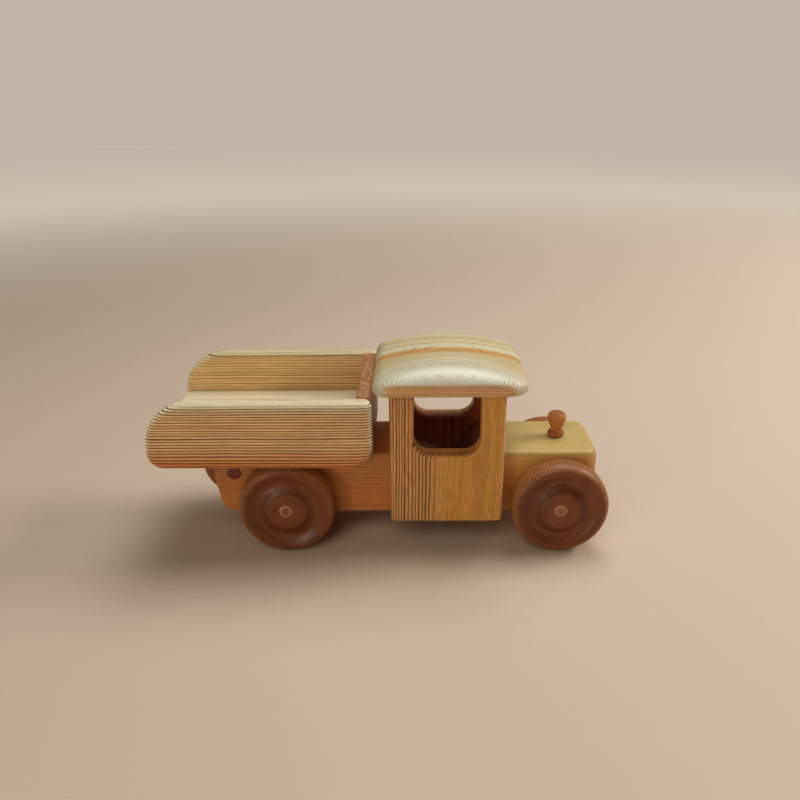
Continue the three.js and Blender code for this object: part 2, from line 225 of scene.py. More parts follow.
def carve(obj, *cutters):
    """Cut closed solids out of obj, and remove them."""
    for cutter in cutters:
        mod = obj.modifiers.new("cut", "BOOLEAN")
        mod.operation, mod.solver, mod.object = "DIFFERENCE", "EXACT", cutter
    bpy.context.view_layer.update()
    cut = bpy.data.meshes.new_from_object(obj.evaluated_get(bpy.context.evaluated_depsgraph_get()))
    obj.modifiers.clear()
    obj.data = cut
    for cutter in cutters:
        bpy.data.objects.remove(cutter)
    return obj


def drill(axis, start, end, radius, at, segments=48):
    """Cutter for a round bore along 'x', 'y' or 'z'."""
    direction = {"x": X, "y": Y, "z": Z}[axis]
    middle, half = (start + end) / 2, abs(end - start) / 2
    centre = {"x": (middle, *at), "y": (at[0], middle, at[1]), "z": (*at, middle)}[axis]
    profile = [(0, -half), (radius, -half), (radius, half), (0, half)]
    return turned("cutter", profile, centre, direction, segments)


def dowel_bore(axis, start, end, at):
    """Cutter for a glue dowel's bore."""
    return drill(axis, start, end, DOWEL_BORE, at, 24)


def cross_bore(radius, x, z):
    """Cutter for a bore along Y, longer than the beam is wide."""
    return drill("y", -30, 30, radius, (x, z))


def slab_cutter(x0, x1, y0, y1, z0, z1):
    """Cutter with flat sides."""
    corners = [Vector((x0, z0)), Vector((x1, z0)), Vector((x1, z1)), Vector((x0, z1))]
    return build("cutter", *loft([[(p.x, y, p.y) for p in corners] for y in (y0, y1)]))


def smooth(obj, angle):
    """Smooth shading that keeps edges sharper than `angle` degrees."""
    mesh = obj.data
    mesh.polygons.foreach_set("use_smooth", [True] * len(mesh.polygons))
    mesh.set_sharp_from_angle(angle=math.radians(angle))
    mod = obj.modifiers.new("normals", "WEIGHTED_NORMAL")
    mod.keep_sharp = True
    mod.weight = 60


def place(obj, body, nodes, material, angle=38):
    """Finish a rebuilt piece: shading, material, body, CAD nodes it stands for and material slot."""
    smooth(obj, angle)
    obj.data.materials.clear()
    obj.data.materials.append(material)
    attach(obj, body)
    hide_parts(*nodes)
    return obj


# ---- wood material
class Graph:
    """A material's node tree, and short calls that add its nodes."""

    def __init__(self, name):
        self.material = bpy.data.materials.new(name)
        self.material.use_nodes = True
        self.tree = self.material.node_tree
        self.shader = self.tree.nodes["Principled BSDF"]

    def put(self, node, key, value):
        socket = node.inputs[key]
        if isinstance(value, bpy.types.NodeSocket):
            self.tree.links.new(value, socket)
        elif value is not None:
            socket.default_value = value

    def node(self, kind, **inputs):
        node = self.tree.nodes.new(kind)
        for key, value in inputs.items():
            self.put(node, key.replace("_", " "), value)
        return node

    def math(self, operation, a, b=None, c=None, clamp=False):
        node = self.tree.nodes.new("ShaderNodeMath")
        node.operation = operation
        node.use_clamp = clamp
        for i, value in enumerate((a, b, c)):
            self.put(node, i, value)
        return node.outputs[0]

    def plus(self, a, b, clamp=False):
        return self.math("ADD", a, b, clamp=clamp)

    def minus(self, a, b):
        return self.math("SUBTRACT", a, b)

    def times(self, a, b):
        return self.math("MULTIPLY", a, b)

    def over(self, a, b):
        return self.math("DIVIDE", a, b)

    def vector(self, operation, a, b=None):
        node = self.tree.nodes.new("ShaderNodeVectorMath")
        node.operation = operation
        self.put(node, 0, a)
        self.put(node, 1, b)
        return node

    def dot(self, a, b):
        return self.vector("DOT_PRODUCT", a, b).outputs["Value"]

    def swing(self, noise, amount):
        """Noise of 0 to 1 as an offset of -amount to +amount."""
        return self.math("MULTIPLY_ADD", noise, 2 * amount, -amount)

    def hypotenuse(self, a, b):
        return self.math("SQRT", self.plus(self.times(a, a), self.times(b, b)))

    def combine(self, x, y, z):
        return self.node("ShaderNodeCombineXYZ", X=x, Y=y, Z=z).outputs[0]

    def noise(self, vector, scale, detail, roughness, seed):
        node = self.tree.nodes.new("ShaderNodeTexNoise")
        node.noise_dimensions = "4D"
        for key, value in (("Vector", vector), ("W", seed), ("Scale", scale), ("Detail", detail),
                           ("Roughness", roughness)):
            self.put(node, key, value)
        return node.outputs["Fac"]

    def sway(self, p, length, amount, seed):
        """A slow offset of -amount to +amount that changes over `length`, mm, along X."""
        at = self.combine(self.over(self.dot(p, X), length), 0.0, 0.0)
        return self.swing(self.noise(at, 1, 2, 0.5, seed), amount)

    def random(self, value):
        node = self.tree.nodes.new("ShaderNodeTexWhiteNoise")
        node.noise_dimensions = "1D"
        self.put(node, "W", value)
        return node.outputs["Value"]

    def remap(self, value, a0, a1, b0, b1, kind="LINEAR"):
        """Carry the range a0 to a1 over to b0 to b1, and stop at its ends."""
        node = self.tree.nodes.new("ShaderNodeMapRange")
        node.interpolation_type = kind
        for key, v in zip(("Value", "From Min", "From Max", "To Min", "To Max"), (value, a0, a1, b0, b1)):
            self.put(node, key, v)
        return node.outputs["Result"]

    def ease(self, value, a0, a1, b0=0.0, b1=1.0):
        """The same with a soft start and end."""
        return self.remap(value, a0, a1, b0, b1, "SMOOTHSTEP")

    def ramp(self, value, stops):
        node = self.tree.nodes.new("ShaderNodeValToRGB")
        self.put(node, "Fac", value)
        elements = node.color_ramp.elements
        while len(elements) < len(stops):
            elements.new(0.5)
        for element, (position, colour) in zip(elements, stops):
            element.position = position
            element.color = (*colour, 1)
        return node.outputs["Color"]

    def mix(self, factor, a, b, blend="MIX"):
        node = self.tree.nodes.new("ShaderNodeMix")
        node.data_type = "RGBA"
        node.blend_type = blend
        node.clamp_factor = True
        self.put(node, 0, factor)
        for index, value in ((6, a), (7, b)):
            if isinstance(value, tuple):
                value = (*value, 1)
            self.put(node, index, value)
        return node.outputs[2]


def srgb(*values):
    """Colour given as 0-255 display values, as scene-linear."""
    def linear(v):
        return v / 12.92 if v <= 0.04045 else ((v + 0.055) / 1.055) ** 2.4
    return tuple(linear(value / 255) for value in values)


def wood(name, grain, pith, spacing, early, late, *, seed, growth=None, wobble=1.2, wobble_length=60.0,
         ripple=0.2, width_change=0.9, line=(0.25, 0.5), late_strength=0.8, weakest=0.5, fade=0.35,
         broken=0.3, calm=None, zones=None, patch=0.25, patch_colour=None, tints=(), fibre=0.22,
         fibre_width=0.42, fibre_length=16.0, end_tint=(0.62, 0.5, 0.38), end_amount=0.55, mottle=0.0,
         edge_light=0.12, rough=0.46, coat=0.12, specular=0.5, relief=0.05):
    """Solid wood: growth rings round a pith line, cut by whatever surface the piece has.

    grain, pith: direction of the fibres, and a point on the pith line. spacing: ring width.
    early, late: colours of a ring's broad pale part and of its dark line.
    growth: (radius, rings) stops, where the ring width changes with the tree's age.
    wobble, wobble_length, ripple: how far the rings bend, over what length, and a quicker shake.
    width_change: how much ring widths vary. line: narrowest and widest dark line, as shares of a ring.
    late_strength, weakest: strength of the dark lines, and of the faintest of them.
    fade, broken: how much they weaken in patches and in short gaps.
    calm: a function (graph, point, radius) that quietens them, other than on end grain.
    zones: (radius, colour) stops that colour the early wood by distance from the pith.
    patch, patch_colour: soft clouds of a second colour.
    tints: functions (graph, point, base, normal) that recolour the early wood.
    fibre, fibre_width, fibre_length: strength and size of the thin streaks along the grain.
    end_tint, end_amount, mottle: how end grain soaks up oil, and how torn it looks.
    edge_light: how pale handling has made the edges. relief: the bump's height. Lengths are in mm.
    """
    g = Graph(name)
    along_axis = Vector(grain).normalized()
    helper = Vector(Z) if abs(along_axis.z) < 0.8 else Vector(Y)
    side_a = along_axis.cross(helper).normalized()
    side_b = along_axis.cross(side_a).normalized()
    coord = g.node("ShaderNodeTexCoord")
    normal = coord.outputs["Normal"]
    place_mm = g.vector("SCALE", coord.outputs["Object"])
    place_mm.inputs["Scale"].default_value = 1 / MM
    p = place_mm.outputs[0]
    along = g.dot(p, tuple(along_axis))
    u = g.minus(g.dot(p, tuple(side_a)), Vector(pith).dot(side_a))
    v = g.minus(g.dot(p, tuple(side_b)), Vector(pith).dot(side_b))

    def grained(length, width, detail, roughness, shift):
        """Noise stretched along the grain: `length` by `width`, mm."""
        at = g.combine(g.over(along, length), g.over(u, width), g.over(v, width))
        return g.noise(at, 1, detail, roughness, seed + shift)

    def scaled(colour, factor):
        return tuple(min(1.0, c * factor) for c in colour)

    # The tree wasn't a perfect cone: bend the rings slowly along the grain, faster across it.
    bend_u = g.swing(grained(wobble_length, 14.0, 2, 0.5, 0), wobble)
    bend_v = g.swing(grained(wobble_length, 14.0, 2, 0.5, 7.3), wobble)
    shake = g.swing(grained(13.0, 5.0, 2, 0.6, 5.1), ripple)
    radius = g.hypotenuse(g.plus(g.plus(u, bend_u), shake), g.plus(g.plus(v, bend_v), shake))

    # Good and bad years: the ring width drifts with the radius.
    drift = g.noise(g.combine(g.over(radius, spacing * 3.1), seed * 1.7, 0.0), 1, 2, 0.6, seed + 3)
    grown = 0.0 if growth else g.over(radius, spacing)
    for (r0, n0), (r1, n1) in zip(growth or (), (growth or ())[1:]):
        grown = g.plus(g.remap(radius, r0, r1, 0.0, n1 - n0), grown)
    phase = g.plus(grown, g.times(drift, 2 * width_change))
    ring = g.math("FLOOR", phase)
    part = g.math("FRACT", phase)

    # A ring darkens gently towards its outside and ends sharply. Each year's line has its own strength.
    width = g.remap(g.random(g.plus(ring, seed)), 0, 1, *line)
    rise = g.ease(part, g.minus(1.0, width), g.math("MULTIPLY_ADD", width, -0.35, 1.0))
    band = g.times(rise, g.ease(part, 0.94, 1.0, 1.0, 0.0))
    strength = g.remap(g.random(g.plus(ring, seed + 31.7)), 0, 1, weakest, 1.0)
    dark = g.math("MAXIMUM", g.times(band, strength), g.times(part, 0.12))
    facing = g.math("ABSOLUTE", g.dot(normal, tuple(along_axis)))
    end = g.ease(facing, 0.35, 0.95)
    if calm:
        dark = g.times(dark, g.math("MAXIMUM", calm(g, p, radius), end))
    worn = grained(34.0, 5.0, 2, 0.55, 11)
    dark = g.times(dark, g.ease(worn, 0.3, 0.7, 1.0 - fade))
    gaps = grained(6.0, 0.9, 2, 0.6, 13)
    dark = g.times(dark, g.ease(gaps, 0.35, 0.6, 1.0 - broken))

    # Early wood: plain, or by age, with clouds of a second colour and the piece's own tints.
    cloud = grained(38.0, 9.0, 3, 0.55, 29)
    if zones:
        low, high = zones[0][0], zones[-1][0]
        base = g.ramp(g.remap(radius, low, high, 0.0, 1.0),
                      [((r - low) / (high - low), colour) for r, colour in zones])
    else:
        base = g.mix(g.remap(cloud, 0.3, 0.7, 0.0, 1.0), early, scaled(early, 0.86))
    if patch_colour:
        cloudy = g.ease(cloud, 0.52, 0.72)
        base = g.mix(g.times(cloudy, patch), base, patch_colour)
    for tint in tints:
        base = tint(g, p, base, normal)
    colour = g.mix(g.times(dark, late_strength), base, late)

    # Fibres and resin canals: long thin streaks.
    streak = grained(fibre_length, fibre_width, 3, 0.65, 17)
    shade = g.remap(streak, 0.25, 0.75, 1.0 - fibre, 1.0 + fibre * 0.6)
    colour = g.mix(1.0, colour, g.combine(shade, shade, shade), "MULTIPLY")
    canal = g.ease(grained(7.0, 0.34, 1, 0.5, 23), 0.66, 0.78)
    colour = g.mix(g.times(canal, 0.25), colour, scaled(late, 0.45))

    # End grain: darker, specked, and torn where it is mottled.
    speck = grained(1.6, 0.5, 2, 0.6, 41)
    soak = g.times(end, g.remap(speck, 0.3, 0.7, end_amount * 0.75, end_amount))
    colour = g.mix(soak, colour, g.mix(1.0, colour, end_tint, "MULTIPLY"))
    if mottle:
        torn = g.noise(p, 0.55, 3, 0.7, seed + 53)
        pale = g.times(end, g.ease(torn, 0.5, 0.68, 0.0, mottle))
        deep = g.times(end, g.ease(torn, 0.46, 0.32, 0.0, mottle))
        colour = g.mix(deep, g.mix(pale, colour, scaled(early, 1.9)), late)
    point = g.node("ShaderNodeNewGeometry").outputs["Pointiness"]
    colour = g.mix(g.remap(point, 0.505, 0.56, 0.0, edge_light), colour, scaled(early, 1.35))
    g.put(g.shader, "Base Color", colour)

    # Finish: smears of wax, shinier dark lines, duller end grain.
    smear = g.noise(p, 0.11, 3, 0.6, seed + 47)
    shine = g.plus(g.remap(smear, 0.3, 0.7, rough - 0.06, rough + 0.09), g.times(dark, -0.07))
    shine = g.plus(shine, g.times(end, 0.1), clamp=True)
    g.put(g.shader, "Roughness", shine)
    g.shader.inputs["Coat Weight"].default_value = coat
    g.shader.inputs["Coat Roughness"].default_value = 0.32
    g.shader.inputs["IOR"].default_value = 1.45
    g.shader.inputs["Specular IOR Level"].default_value = specular

    # Relief: the hard late wood stands proud, canals are pits, and end grain is rough.
    height = g.plus(band, g.times(streak, 0.55))
    height = g.minus(height, g.times(canal, 0.6))
    height = g.plus(height, g.times(g.times(speck, end), 0.8))
    bump = g.node("ShaderNodeBump", Strength=0.55, Distance=relief * MM, Height=height)
    g.put(g.shader, "Normal", bump.outputs[0])
    return g.material


def tint_z(low, high, colour, *, breadth, above=0.0, below=1.0):
    """Recolour by height: by `below` under a wavy level between low and high, mm, by `above` over it."""
    def apply(g, p, base, normal):
        z = g.dot(p, Z)
        at = g.combine(g.over(g.dot(p, X), 60.0), g.over(z, 8.0), 0.0)
        level = g.plus(z, g.swing(g.noise(at, 1, 2, 0.5, 5.0), breadth))
        return g.mix(g.ease(level, low, high, below, above), base, colour)
    return apply


def painted_edge_highlight(along, low, high, colour, amount):
    """Painted highlight on the rounded edges of a board, stronger from low to high along an axis, mm."""
    def apply(g, p, base, normal):
        turned_away = g.ease(g.math("ABSOLUTE", g.dot(normal, Y)), 0.98, 0.7, 0.0, amount)
        mask = g.times(turned_away, g.ease(g.dot(p, along), low, high))
        return g.mix(mask, base, colour)
    return apply


def calm_beyond(axis, start, end, amount):
    """Fade the ring lines to `amount` between two levels along an axis, mm."""
    return lambda g, p, radius: g.ease(g.dot(p, axis), start, end, 1.0, amount)


def calm_beam(g, p, radius):
    """The beam's ring lines are faint on its top, and weaker ahead of the cab."""
    return g.times(g.ease(g.dot(p, Z), 57.0, 62.0, 1.0, 0.14),
                   g.ease(g.dot(p, X), 66.0, 80.0, 1.0, 0.45))


def calm_roof(g, p, radius):
    """The roof's ring lines are clear on its sides and at the bull's-eye, and faint over its far half."""
    side = g.ease(g.dot(p, Z), 112.5, 115.0, 1.0, 0.0)
    eye = g.ease(radius, 70.2, 73.4, 0.95, 0.25)
    return g.times(g.ease(g.dot(p, Y), 1.5, 6.5, 1.0, 0.15), g.math("MAXIMUM", side, eye))


def roof_sides(g, p, base, normal):
    """The roof slab's two upright sides show darker wood than its top."""
    across = g.math("ABSOLUTE", g.dot(p, Y))
    lengthways = g.math("ABSOLUTE", g.minus(g.dot(p, X), 40.5))
    mask = g.times(g.ease(across, 39.4, 40.7), g.ease(g.dot(p, Z), 112.2, 115.0, 1.0, 0.0))
    mask = g.times(mask, g.ease(lengthways, 34.0, 43.0, 0.9, 0.0))
    return g.mix(mask, base, srgb(228, 172, 108))


def roof_bands(start, stops):
    """Past `start`, mm across, the rings lie flat: soft bands at stops of (mm across, colour)."""
    def apply(g, p, base, normal):
        across = g.plus(g.dot(p, Y), g.sway(p, 45.0, 1.5, 5.5))
        low, high = stops[0][0], stops[-1][0]
        bands = g.ramp(g.remap(across, low, high, 0.0, 1.0),
                       [((q - low) / (high - low), c) for q, c in stops])
        return g.mix(g.ease(across, start - 2.5, start), base, bands)
    return apply


def resin_streak(g, p, base, normal):
    """A streak of resin along the top of the near bed board."""
    middle = g.remap(g.dot(p, X), -120.0, -30.0, -41.2, -43.6)
    off = g.math("ABSOLUTE", g.minus(g.dot(p, Y), middle))
    line = g.times(g.ease(off, 0.3, 1.3, 0.9, 0.0), g.ease(g.dot(p, Z), 103.5, 105.0))
    line = g.times(line, g.ease(g.dot(p, X), -80.0, -20.0, 1.0, 0.3))
    return g.mix(line, base, srgb(226, 158, 78))


def beam_painted_light_and_shade(g, p, base, normal):
    """Painted light and shade on the beam: its top and upper sides ahead of the cab are painted paler than
    the shaded lower side, and its top behind the cab gets a painted shadow.
    """
    level = g.plus(g.dot(p, Z), g.sway(p, 40.0, 1.0, 5.0))
    ahead = g.ease(g.dot(p, X), 66.0, 70.0)
    for low, high, amount, colour in ((40.0, 58.0, 0.8, srgb(224, 172, 98)),
                                      (57.5, 62.2, 0.9, srgb(194, 172, 108))):
        base = g.mix(g.times(ahead, g.ease(level, low, high, 0.0, amount)), base, colour)
    shadow_behind_cab = g.times(g.ease(g.dot(p, X), 4.0, 8.0, 0.55, 0.0), g.ease(g.dot(p, Z), 60.0, 62.3))
    return g.mix(shadow_behind_cab, base, srgb(204, 104, 40))


def inside_painted_shade(g, p, base, normal):
    """Painted shade on the inner face of the far cab panel, which is darkened towards brown."""
    return g.mix(g.ease(g.dot(p, Y), 25.5, 31.0, 0.95, 0.0), base, srgb(150, 72, 30))


def recess_painted_shade(g, p, base, normal):
    """Painted shade in the seat well: the beam between the cab panels is darkened towards deep brown."""
    middle = g.math("ABSOLUTE", g.minus(g.dot(p, X), 37.0))
    return g.mix(g.ease(middle, 26.0, 31.0, 0.93, 0.0), base, srgb(78, 30, 12))


def from_axle(g, p, x):
    """Distance from the middle line of the axle at x, mm."""
    return g.hypotenuse(g.minus(g.dot(p, X), x), g.minus(g.dot(p, Z), AXLES["z"]))


# ---- woods
chassis_wood = wood(
    "chassis_pine", (1, 0.0, 0.012), (0, -4, -62), 1.6, srgb(220, 145, 68), srgb(66, 24, 4), seed=2.0,
    late_strength=1.0, line=(0.45, 0.65), weakest=0.7, fibre=0.26, end_tint=(0.86, 0.68, 0.46), relief=0.03,
    # Painted shade: the beam's sides are darker and more orange below a wavy level at 38 to 60 mm, where
    # bed, cab and wheels shade them.
    tints=[tint_z(38, 60, srgb(212, 116, 40), below=0.45, breadth=6.0), beam_painted_light_and_shade, recess_painted_shade],
    calm=calm_beam)
cab_right_wood = wood(
    "cab_pine_right", (0.01, 0, 1), (58, -73, 60), 1.5, srgb(224, 156, 90), srgb(58, 14, 2), seed=3.0,
    late_strength=1.0, line=(0.52, 0.7), weakest=0.8, wobble=1.0, ripple=0.4, fade=0.1, broken=0.1,
    fibre=0.55, fibre_length=9, patch_colour=srgb(208, 112, 40), patch=0.35, specular=0.3, coat=0.05,
    # Painted highlight on the front edge of the near cab panel.
    end_tint=(0.62, 0.45, 0.32), tints=[painted_edge_highlight(X, 70, 72, srgb(238, 196, 136), 0.8)],
    calm=calm_beyond(X, 29, 33, 0.2),
    zones=[(34, srgb(214, 152, 74)), (41, srgb(220, 158, 76)), (45.5, srgb(224, 160, 92)),
           (64, srgb(228, 168, 106))])
cab_left_wood = wood(
    "cab_pine_left", (0.01, 0, 1), (58, 73, 60), 1.6, srgb(226, 164, 92), srgb(70, 22, 5), seed=4.4,
    late_strength=1.0, line=(0.4, 0.75), fibre=0.3, end_tint=(0.6, 0.45, 0.32), tints=[inside_painted_shade])
roof_wood = wood(
    "roof_pine", X, (38, 10, 62), 0.8, srgb(228, 212, 168), srgb(100, 60, 26), seed=5.0,
    growth=[(50, -10), (59.7, 0), (62.6, 4), (66.5, 7.2), (70.4, 10.8), (72.7, 16), (73.7, 19), (80, 32)],
    late_strength=1.0, line=(0.42, 0.6), weakest=0.6, wobble=0.8, wobble_length=42, ripple=0.08,
    width_change=0.35, fade=0.15, broken=0.1, fibre=0.12, end_tint=(0.9, 0.8, 0.66), end_amount=0.4,
    edge_light=0.05, calm=calm_roof,
    tints=[roof_bands(-3.0, [(-8, srgb(224, 196, 142)), (-3.5, srgb(220, 180, 118)),
                             (0.5, srgb(216, 168, 96)), (4, srgb(216, 174, 108)),
                             (6.5, srgb(214, 208, 168)), (9.5, srgb(218, 218, 188)),
                             (13, srgb(212, 204, 164)), (15, srgb(202, 178, 128)),
                             (18, srgb(216, 208, 170)), (22, srgb(208, 194, 150)),
                             (25, srgb(202, 180, 132)), (29, srgb(214, 206, 166)),
                             (41, srgb(212, 204, 164))]), roof_sides],
    zones=[(57, srgb(220, 200, 148)), (61, srgb(222, 204, 154)), (63, srgb(224, 211, 172)),
           (66, srgb(225, 217, 186)), (70, srgb(227, 222, 194)), (73.6, srgb(238, 240, 224))])
knob_wood = wood(
    "knob_wood", (0.1, 0, 1), (170, 8, 70), 1.2, srgb(208, 132, 64), srgb(112, 50, 16), seed=6.0,
    late_strength=0.7, wobble=0.5, fibre=0.35, rough=0.48, coat=0.06, specular=0.3, relief=0.02,
    tints=[tint_z(65.5, 68.5, srgb(168, 92, 50), below=0.8, breadth=0.5)], end_tint=(0.5, 0.38, 0.3),
    end_amount=0.8)
bed_right_wood = wood(
    "bed_pine_right", X, (0, -60, -190), 1.7, srgb(252, 204, 146), srgb(64, 22, 4), seed=7.0,
    growth=[(250, -1), (268, 7.6), (280, 14.4), (296, 23.8)],
    late_strength=1.0, line=(0.5, 0.64), weakest=0.85, wobble=0.9, wobble_length=80, width_change=0.8,
    fade=0.1, broken=0.1, fibre=0.3, specular=0.2, coat=0.03, edge_light=0.1, relief=0.35,
    # Painted bounce light: the board's lower part is tinted warm orange below a wavy level at 67 to 79 mm;
    # then a painted highlight on its upper rounded edges.
    tints=[tint_z(67, 79, srgb(222, 130, 66), below=0.85, breadth=2.0),
           painted_edge_highlight(Z, 66, 80, srgb(255, 244, 210), 1.0),
           tint_z(99, 104, srgb(244, 236, 200), above=0.9, below=0.0, breadth=1.0), resin_streak],
    calm=calm_beyond(Z, 102.5, 104.8, 0.2), end_tint=(0.94, 0.88, 0.78), end_amount=0.3)
bed_left_wood = wood(
    "bed_pine_left", X, (0, 60, -190), 1.8, srgb(255, 216, 150), srgb(120, 54, 14), seed=8.0,
    late_strength=0.95, line=(0.35, 0.65), weakest=0.7, wobble=1.1, wobble_length=80, width_change=1.0,
    fade=0.2, broken=0.1, fibre=0.2, specular=0.25, coat=0.03, relief=0.25,
    # Painted highlight on the board's upper rounded edges.
    tints=[painted_edge_highlight(Z, 66, 80, srgb(248, 234, 190), 0.85),
           tint_z(102, 105, srgb(216, 204, 160), above=0.9, below=0.0, breadth=1.0)],
    calm=calm_beyond(Z, 104.6, 106, 0.3), end_tint=(0.94, 0.88, 0.78), end_amount=0.3)
floor_wood = wood(
    "floor_pine", X, (0, -8, -60), 1.9, srgb(232, 222, 190), srgb(214, 178, 128), seed=9.0,
    late_strength=0.5, line=(0.4, 0.8), fibre=0.08, relief=0.03)
headboard_wood = wood(
    "headboard_pine", (0, 0.02, 1), (-70, 10, 80), 1.8, srgb(198, 142, 98), srgb(118, 66, 38), seed=10.0,
    fibre=0.2, end_tint=(0.86, 0.72, 0.6), end_amount=0.5, relief=0.1, mottle=0.9)
tongue_wood = wood(
    "tongue_wood", (1, 0, 0.1), (0, 30, 0), 1.6, srgb(160, 92, 48), srgb(86, 40, 18), seed=11.0,
    late_strength=0.6, end_tint=(0.6, 0.48, 0.38))
pin_wood = wood(
    "pin_wood", Y, (-95, 0, 52), 0.9, srgb(150, 80, 46), srgb(70, 30, 16), seed=12.0,
    late_strength=0.5, wobble=0.3, end_tint=(0.64, 0.5, 0.42), end_amount=0.9, mottle=0.2)
dowel_wood = wood(
    "dowel_wood", (0.3, 0.3, 0.9), (0, 0, -40), 1.4, srgb(224, 190, 140), srgb(180, 128, 78), seed=13.0,
    late_strength=0.4, rough=0.6, coat=0.0)


def wheel_wood(name, angle, x, sign, early, seed):
    """Varnish has worn off the rim of a wheel, and the wood is paler there; painted shade darkens the cove
    round the hub. angle: the grain's, degrees.
    """
    def worn_rim_and_groove_shade(g, p, base, normal):
        out = from_axle(g, p, x)
        # Painted shade: a dark ring in the cove just outside the hub.
        painted_groove_shade = g.times(g.ease(out, 10.8, 13.6), g.ease(out, 13.6, 18.0, 0.4, 0.0))
        base = g.mix(painted_groove_shade, base, srgb(70, 26, 8))
        return g.mix(g.ease(out, 25.5, 29.5, 0.0, 0.55), base, srgb(206, 142, 84))

    a = math.radians(angle)
    grain = (math.cos(a), 0, math.sin(a))
    pith = (x + 70 * math.sin(a), sign * 60.8, AXLES["z"] - 70 * math.cos(a))
    return wood(name, grain, pith, 1.5, early, srgb(46, 16, 4), seed=seed, late_strength=0.85,
                line=(0.4, 0.8), wobble=0.4, ripple=0.1, fade=0.5, fibre=0.6, fibre_length=26,
                patch_colour=srgb(112, 40, 8), patch=0.7, end_tint=(0.6, 0.44, 0.34), edge_light=0.3,
                coat=0.28, specular=0.3, relief=0.03, tints=[worn_rim_and_groove_shade])


def axle_wood(name, x, core, seed):
    """Dowel whose sawn ends are darker in the middle, with a painted highlight round their chamfered rim.
    """
    def dark_core_and_rim_highlight(g, p, base, normal):
        out = from_axle(g, p, x)
        base = g.mix(g.ease(out, 1.4, 3.2, 0.8, 0.0), base, core)
        # Painted highlight: a pale ring over the chamfer round each end.
        return g.mix(g.ease(out, 3.5, 3.8, 0.0, 0.9), base, srgb(226, 192, 150))

    return wood(name, Y, (x + 2.5, 0, 33), 0.9, srgb(176, 122, 82), srgb(104, 62, 38), seed=seed,
                late_strength=0.4, wobble=0.3, fibre=0.2, end_tint=(0.8, 0.68, 0.6), end_amount=0.7,
                edge_light=0.3, mottle=0.25, tints=[dark_core_and_rim_highlight])


# ---- chassis beam
def rounded_box_ring(x, half, low, high, low_round, high_round, steps=6, across=8, upright=6):
    """One cross-section of the beam, in Y-Z at x."""
    corners = [(half, low, low_round), (half, high, high_round), (-half, high, high_round),
               (-half, low, low_round)]
    points = []
    for i, (y, z, r) in enumerate(corners):
        cy = y - math.copysign(r, y)
        cz = z + r if z == low else z - r
        start = (-90, 0, 90, 180)[i]
        ring = [(cy + r * math.cos(math.radians(start + 90 * k / steps)),
                 cz + r * math.sin(math.radians(start + 90 * k / steps))) for k in range(steps + 1)]
        if points:
            points += between(points[-1], ring[0], upright if i in (1, 3) else across)
        points += ring
    points += between(points[-1], points[0], across)
    return [(x, y, z) for y, z in points]


def beam_profile():
    """(x, low, high) stations of the beam from rear to front."""
    b = BEAM
    # The tail is round about the hinge pin above, and rounded and cut back below.
    rear_round = b["top"] - PIN["z"]
    corner, taper, cutback = 9.5, 2.6, 12.8
    corner_end = b["rear"] + taper + corner

    def low_at(x):
        t = (corner_end - x) / corner
        if t >= 1.0:
            return b["bottom"] + corner + (b["rear"] + taper - x) / taper * cutback
        return b["bottom"] + corner * (1 - math.sqrt(1 - max(0.0, t) ** 2))

    def high_at(x):
        if x >= PIN["x"]:
            return b["top"]
        return PIN["z"] + math.sqrt(max(0.0, rear_round ** 2 - (PIN["x"] - x) ** 2))

    stations = []
    x = b["rear"]
    while x < -90:
        stations.append((x, low_at(x), high_at(x)))
        x += 0.5 if x < -96 else 2
    # The scooped seat well: a vertical wall, a sloping floor, a foot well and a curved front.
    wall = [(8.6, b["top"]), (9.6, b["top"]), (10.1, 62.5), (10.4, 61.8), (10.5, 61.0), (10.65, 55.2),
            (11.0, 54.5)]
    floor = [(10.5, 54.5), (35.5, 45.4), (43.5, 42.5), (46.1, 43.5), (48.1, 45.7), (49.9, 49.5),
             (52.7, 54.3), (56.9, 58.9), (63.0, b["top"])]
    lip = [(62.6, 62.65), (63.6, b["top"])]
    heights = [(x, b["top"]) for x in range(-88, 10, 7)] + wall
    heights += [(x, min(z, 62.4)) for x, z in spline(floor, 9) if 11.5 < x < 62.0]
    heights += lip + [(x, b["top"]) for x in range(70, 124, 7)]
    return stations + [(x, b["bottom"], high) for x, high in heights]


